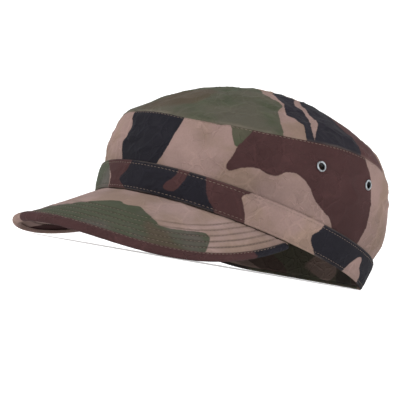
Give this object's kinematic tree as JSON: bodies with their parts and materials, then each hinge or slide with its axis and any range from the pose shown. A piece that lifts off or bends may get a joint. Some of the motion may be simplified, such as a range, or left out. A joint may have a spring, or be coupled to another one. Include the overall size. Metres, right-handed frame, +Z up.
{
  "type": "field cap",
  "caption": "Soft cloth field cap with a domed oval crown, a folded band round the head opening, an arched bound peak and metal vent eyelets.",
  "frame": {"origin": "centre of the plan outline, on the surface the cap rests on", "axes": "+Z up, peak along -Y, wearer's left along +X; the rim leans back 12.5 degrees as the cap rests on its peak and the back of its band"},
  "size_m": [0.1758, 0.2538, 0.1162],
  "materials": {
    "top_cloth": "printed cotton, matt",
    "wall_cloth": "printed cotton, matt",
    "band_cloth": "printed cotton, matt",
    "peak_cloth": "printed cotton, quilted with rows of stitching",
    "binding_cloth": "printed cotton, matt",
    "eyelet_metal": "satin"
  },
  "bodies": {
    "root": {"crown_top": "top_cloth", "crown_wall": "wall_cloth", "band": "band_cloth", "peak_top": "peak_cloth", "peak_under": "peak_cloth", "peak_binding": "binding_cloth", "eyelet_left_front": "eyelet_metal", "eyelet_left_rear": "eyelet_metal", "eyelet_right_front": "eyelet_metal", "eyelet_right_rear": "eyelet_metal"}
  },
  "joints": []
}
